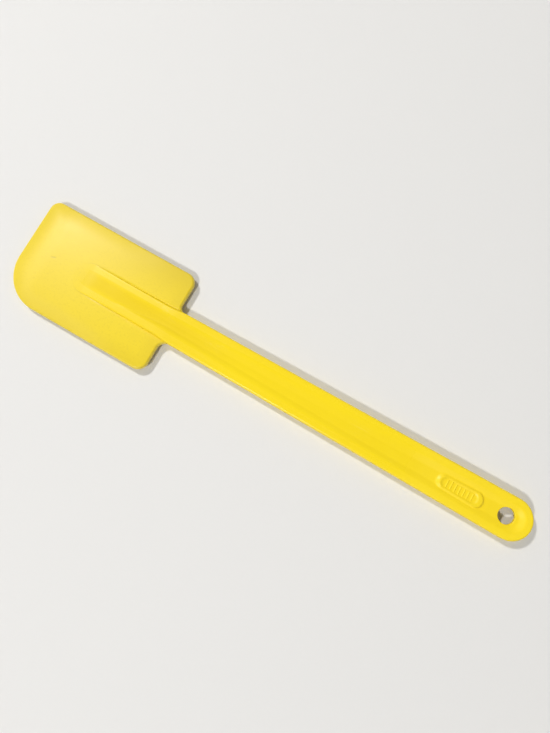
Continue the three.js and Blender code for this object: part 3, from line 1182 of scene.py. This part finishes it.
def handle_plastic(look):
    """Bright stiff plastic: faint flow streaks, satin grain, a few scratches, a deeper yellow on the
    trough's floor, partly painted shade in the recess, and on the spine, and a paler spine front.
    """
    finish = Finish("handle_plastic_finish")
    place = finish.add("ShaderNodeTexCoord", output="Object")
    x = finish.add("ShaderNodeSeparateXYZ", {}, {0: place}, "X")
    cloud = finish.noise(place, HANDLE_CLOUD_WAVES, detail=3.0)
    streak = finish.noise(finish.stretched(place, HANDLE_STREAK_WAVES), scale=1.0)
    grain = finish.noise(place, HANDLE_GRAIN_WAVES)
    scratch = fine_scratches(finish, place, HANDLE_SCRATCH_WAVES, HANDLE_SCRATCH_TURN)
    dense = finish.step(STIFF_DENSE.cloud * cloud + STIFF_DENSE.streak * streak, *HANDLE_DENSE_LEVELS)
    # The trough's floor takes a deeper yellow, partly painted shade in the recess; along the spine the
    # rails take some of it too
    trough = finish.fact("trough_place")
    on_spine = finish.step(x, *SPINE_DEEPER)
    trough_tone_and_shade = finish.step(trough, *TROUGH_TONE) * (STIFF_TROUGH.bar + STIFF_TROUGH.spine * on_spine)
    deep = trough_tone_and_shade + STIFF_TROUGH.rails * on_spine
    tone = finish.mix(dense, solid(look.handle_colour), solid(look.handle_deep))
    tone = finish.mix(deep.at_most(1.0), tone, solid(look.trough_colour))
    tone = finish.mix(STIFF_SCUFF * scratch, tone, solid(look.scuff_colour))
    rough = look.handle_roughness + STIFF_ROUGH.cloud * (cloud - 0.5) + STIFF_ROUGH.grain * (grain - 0.5)
    matt_end = STIFF_ROUGH.end * finish.step(x, *END_MATT)
    glossy_trough = STIFF_ROUGH.trough * finish.step(trough, *TROUGH_GLOSS)
    rough = rough + STIFF_ROUGH.scratch * scratch + (matt_end - glossy_trough)
    pale = finish.step(x, *SPINE_PALE)
    blade = blade_tone(finish, look, place)
    tone = finish.mix(pale, tone, blade.tone)
    rough = rough + pale * (blade.rough - rough)
    relief = STIFF_RELIEF.grain * grain + STIFF_RELIEF.streak * streak - STIFF_RELIEF.scratch * scratch
    return finish.close_plastic(tone, rough, relief, STIFF_BUMP, STIFF_IOR)


def blade_plastic(look):
    """Paler soft plastic: fine grain, clouds, scraping marks towards the tip, a worn rim, painted shade in
    a margin along the rim and along the seam, and one nick.
    """
    finish = Finish("blade_plastic_finish")
    place = finish.add("ShaderNodeTexCoord", output="Object")
    x = finish.add("ShaderNodeSeparateXYZ", {}, {0: place}, "X")
    y = x.other("Y")
    rim_distance = finish.fact("rim_distance")
    plain = blade_tone(finish, look, place)
    scratch = fine_scratches(finish, place, BLADE_SCRATCH_WAVES, BLADE_SCRATCH_TURN)
    scratch = scratch * finish.step(x, *TIP_SCRATCHED)
    ragged = rim_distance + RIM_RAGGED * (finish.noise(place, RAGGED_WAVES) - 0.5)
    worn = finish.step(ragged, *RIM_WORN)
    # Within about 8 mm of the rim the tone is darkened as painted shade, and towards the tip that margin
    # is also more matt
    margin = finish.step(rim_distance, *RIM_SHADE_AND_MATT)
    tone = finish.mix(SOFT_DENSE_AND_SHADE.margin * margin, plain.tone, solid(look.blade_deep))
    tone = finish.mix(SOFT_SCUFF.rim * worn + SOFT_SCUFF.scratch * scratch, tone, solid(look.scuff_colour))
    # Painted shade: a thin darker line along the seam with the spine, from the blade's middle to near the
    # spine's front
    seam_shade = finish.step(finish.fact("seam_distance"), *SEAM_SHADE)
    seam_shade = seam_shade * finish.step(x, *SEAM_SHADE_BEGINS) * finish.step(x, *SEAM_SHADE_ENDS)
    tone = finish.mix(seam_shade, tone, solid(look.blade_deep))
    from_nick_x = x - NICK_PLACE[0]
    from_nick_y = y - NICK_PLACE[1]
    along = (from_nick_x + NICK_SLANT * from_nick_y) / NICK_REACH[0]
    across = (from_nick_y - NICK_SLANT * from_nick_x) / NICK_REACH[1]
    nick_place = along * along + across * across + NICK_RAGGED * (plain.speckle - 0.5)
    nick = finish.step(nick_place, *NICK_LEVELS)
    tone = finish.mix(SOFT_NICK * nick, tone, solid(look.nick_colour))
    rough = plain.rough + SOFT_ROUGH.scratch * scratch
    rough = rough + SOFT_ROUGH.margin * margin * finish.step(x, *MARGIN_MATT)
    rough = rough + SOFT_ROUGH.tip * finish.step(x, *TIP_MATT)
    relief = SOFT_RELIEF.grain * plain.grain + SOFT_RELIEF.speckle * plain.speckle
    relief = relief - SOFT_RELIEF.scratch * scratch - SOFT_RELIEF.nick * nick
    return finish.close_plastic(tone, rough, relief, SOFT_BUMP, SOFT_IOR)


def floor_finish(look):
    """A plain pale floor that keeps the shadow near the object and fades to an even white far from it."""
    finish = Finish("studio_floor_finish")
    place = finish.add("ShaderNodeTexCoord", output="Object")
    away = finish.add("ShaderNodeVectorMath", {"operation": "LENGTH"}, {0: place}, "Value")
    path = finish.add("ShaderNodeLightPath", output="Is Camera Ray")
    seen = path.at_least(path.other("Is Glossy Ray")).at_least(path.other("Is Transmission Ray"))
    far = finish.step(away, *FLOOR_FADE) * seen
    speck = finish.noise(place, FLOOR_SPECK_WAVES)
    tone = finish.mix(FLOOR_SPECK_SHARE * speck, solid(look.floor_colour), solid(FLOOR_SPECK_COLOUR))
    plain = finish.add("ShaderNodeBsdfPrincipled", {}, {"Base Color": tone, "Roughness": FLOOR_ROUGHNESS})
    glow = finish.add("ShaderNodeEmission", {}, {"Color": solid(look.floor_colour), "Strength": 1.0})
    return finish.close(finish.add("ShaderNodeMixShader", {}, {0: far, 1: plain, 2: glow}))


# Pieces and stage


def settings():
    """The scene's own sizes and finishes."""
    return bpy.context.scene.jar_scraper


def handle_form():
    """The handle's form from the sizes that are set."""
    return HandleForm(in_mm(settings().handle), in_mm(settings().pad))


def finish_named(name, maker):
    """A finish that is made once and then shared."""
    return bpy.data.materials.get(name) or maker(settings().finish)


def bend_with_blade(piece):
    """Bakes a piece's placement into its mesh."""
    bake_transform(piece)


class JARSCRAPER_OT_handle(Operator):
    """Shape the handle with its trough, thumb pad, hang hole and spine"""
    bl_idname = "jar_scraper.handle"
    bl_label = "Handle"

    def execute(self, context):
        skin, facts = handle_skin(handle_form())
        piece = skin.object("scraper_handle", facts)
        piece.data.materials.append(finish_named("handle_plastic_finish", handle_plastic))
        bend_with_blade(piece)
        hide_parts("handle")
        return {"FINISHED"}


class JARSCRAPER_OT_pad_ribs(Operator):
    """Stand the plain ribs in the thumb pad's field"""
    bl_idname = "jar_scraper.pad_ribs"
    bl_label = "Thumb pad ribs"

    def execute(self, context):
        piece = put_in_scene("thumb_pad_ribs", bpy.data.meshes.new("thumb_pad_ribs"))
        finish = finish_named("handle_plastic_finish", handle_plastic)
        pad_ribs_tree(settings().pad, handle_form(), finish).apply(piece)
        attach(piece, "handle")
        return {"FINISHED"}


class JARSCRAPER_OT_blade(Operator):
    """Shape the blade round the spine"""
    bl_idname = "jar_scraper.blade"
    bl_label = "Blade"

    def execute(self, context):
        form = BladeForm(in_mm(settings().blade), handle_form())
        skin, facts = blade_skin(form)
        piece = skin.object("scraper_blade", facts)
        finish = finish_named("blade_plastic_finish", blade_plastic)
        blade_thickness_tree(settings().blade, form, finish).apply(piece)
        piece.data.attributes.remove(piece.data.attributes["blade_side"])
        bend_with_blade(piece)
        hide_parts("blade")
        return {"FINISHED"}


def lamp(name, towards, distance, size, watts):
    """A round lamp that shines at the middle of the object from the given direction."""
    light = bpy.data.lights.new(name, "AREA")
    light.shape = "DISK"
    light.size = size
    light.energy = watts
    holder = put_in_scene(name, light)
    direction = Vector(towards).normalized()
    holder.location = direction * distance
    holder.rotation_euler = direction.to_track_quat("Z", "Y").to_euler()
    holder.visible_camera = False


# The lamps' directions, distances and sizes in metres, read from the photographed shadows and highlights
KEY_DIRECTION = (0.605, -0.25, 0.756)
KEY_DISTANCE = 2.3
KEY_SIZE = 0.22
FILL_DIRECTION = (0.109, 0.561, 0.821)
FILL_DISTANCE = 2.3
FILL_SIZE = 0.30

# The floor's flat disc with its inner rings, the curve that lifts its edge all round and the height of its
# wall, in metres, and how finely the curve and the disc are cut
FLOOR_RINGS = (0.3, 1.0)
FLOOR_RADIUS = 2.2
FLOOR_CURVE = 1.0
FLOOR_HEIGHT = 2.4
FLOOR_CURVE_STEPS = 9
FLOOR_SIDES = 96
WHITE = (1.0, 1.0, 1.0)


def floor_mesh():
    """A flat disc whose edge curves up all round into a low wall."""
    profile = [(radius, 0.0) for radius in FLOOR_RINGS]
    for turn in quarter(FLOOR_CURVE_STEPS):
        profile.append((FLOOR_RADIUS + FLOOR_CURVE * math.sin(turn), FLOOR_CURVE * (1 - math.cos(turn))))
    profile.append((FLOOR_RADIUS + FLOOR_CURVE, FLOOR_HEIGHT))
    angles = np.linspace(0.0, 2 * math.pi, FLOOR_SIDES, endpoint=False)
    points = [(0.0, 0.0, 0.0)]
    faces = []
    for radius, height in profile:
        points += [(radius * math.cos(a), radius * math.sin(a), height) for a in angles]
    for i in range(FLOOR_SIDES):
        j = (i + 1) % FLOOR_SIDES
        faces.append((0, 1 + i, 1 + j))
        for k in range(len(profile) - 1):
            low, high = 1 + k * FLOOR_SIDES, 1 + (k + 1) * FLOOR_SIDES
            faces.append((low + i, high + i, high + j, low + j))
    mesh = bpy.data.meshes.new("studio_floor")
    mesh.from_pydata(points, [], faces)
    mesh.shade_smooth()
    return mesh


def studio_room(brightness):
    """Plain white surroundings."""
    world = bpy.data.worlds.new("studio_room")
    world.use_nodes = True
    background = world.node_tree.nodes["Background"]
    background.inputs["Color"].default_value = solid(WHITE)
    background.inputs["Strength"].default_value = brightness
    return world


def photo_camera():
    """A camera at the photograph's viewing angle."""
    tilt_x, tilt_y = (math.radians(angle) for angle in CAMERA_TILT)
    to_camera = (Matrix.Rotation(tilt_y, 3, "Y") @ Matrix.Rotation(tilt_x, 3, "X")
                 @ Matrix.Rotation(math.radians(CAMERA_TURN), 3, "Z"))
    turn = to_camera.transposed()
    camera = put_in_scene("photo_camera", bpy.data.cameras.new("photo_camera"))
    camera.data.sensor_width = SENSOR_WIDTH
    camera.data.lens = SENSOR_WIDTH * FOCAL_PIXELS / IMAGE_HEIGHT
    camera.data.clip_start = CAMERA_CLIP
    place = Vector((0.0, 0.0, MIDDLE_Z)) - turn @ (Vector(CAMERA_MIDDLE) * MM)
    camera.matrix_world = Matrix.Translation(place) @ turn.to_4x4()
    return camera


class JARSCRAPER_OT_stage(Operator):
    """Set up the floor, the lamps, the surroundings and the camera"""
    bl_idname = "jar_scraper.stage"
    bl_label = "Stage"

    def execute(self, context):
        scene = context.scene
        level = settings().light
        floor = put_in_scene("studio_floor", floor_mesh())
        floor.data.materials.append(floor_finish(settings().finish))
        lamp("key_lamp", KEY_DIRECTION, KEY_DISTANCE, KEY_SIZE, level.key_power)
        lamp("fill_lamp", FILL_DIRECTION, FILL_DISTANCE, FILL_SIZE, level.fill_power)
        scene.world = studio_room(level.room_level)
        scene.view_settings.view_transform = "Standard"
        scene.camera = photo_camera()
        return {"FINISHED"}


class JARSCRAPER_PT_sidebar(Panel):
    """Sizes, finishes and steps of the scraper"""
    bl_idname = "JARSCRAPER_PT_sidebar"
    bl_label = "Jar scraper"
    bl_space_type = "VIEW_3D"
    bl_region_type = "UI"
    bl_category = "Scraper"

    def draw(self, context):
        for group in ("handle", "pad", "blade", "finish", "light"):
            values = getattr(settings(), group)
            box = self.layout.box()
            box.label(text=settings().bl_rna.properties[group].name)
            for prop in values.bl_rna.properties:
                if prop.identifier not in ("rna_type", "name"):
                    box.prop(values, prop.identifier)
        for step in STEPS:
            self.layout.operator(step.bl_idname)


GROUPS = (HandleSizes, PadSizes, BladeSizes, Finishes, LightLevels, ScraperSettings)
STEPS = (JARSCRAPER_OT_stage, JARSCRAPER_OT_handle, JARSCRAPER_OT_pad_ribs, JARSCRAPER_OT_blade)


def register():
    for kind in (*GROUPS, *STEPS, JARSCRAPER_PT_sidebar):
        bpy.utils.register_class(kind)
    bpy.types.Scene.jar_scraper = PointerProperty(
        type=ScraperSettings, name="Jar scraper", description="Sizes and finishes of the jar scraper")


def unregister():
    del bpy.types.Scene.jar_scraper
    for kind in reversed((*GROUPS, *STEPS, JARSCRAPER_PT_sidebar)):
        bpy.utils.unregister_class(kind)


def main():
    register()
    bpy.ops.jar_scraper.stage()
    bpy.ops.jar_scraper.handle()
    bpy.ops.jar_scraper.pad_ribs()
    bpy.ops.jar_scraper.blade()


if __name__ == "__main__":
    main()
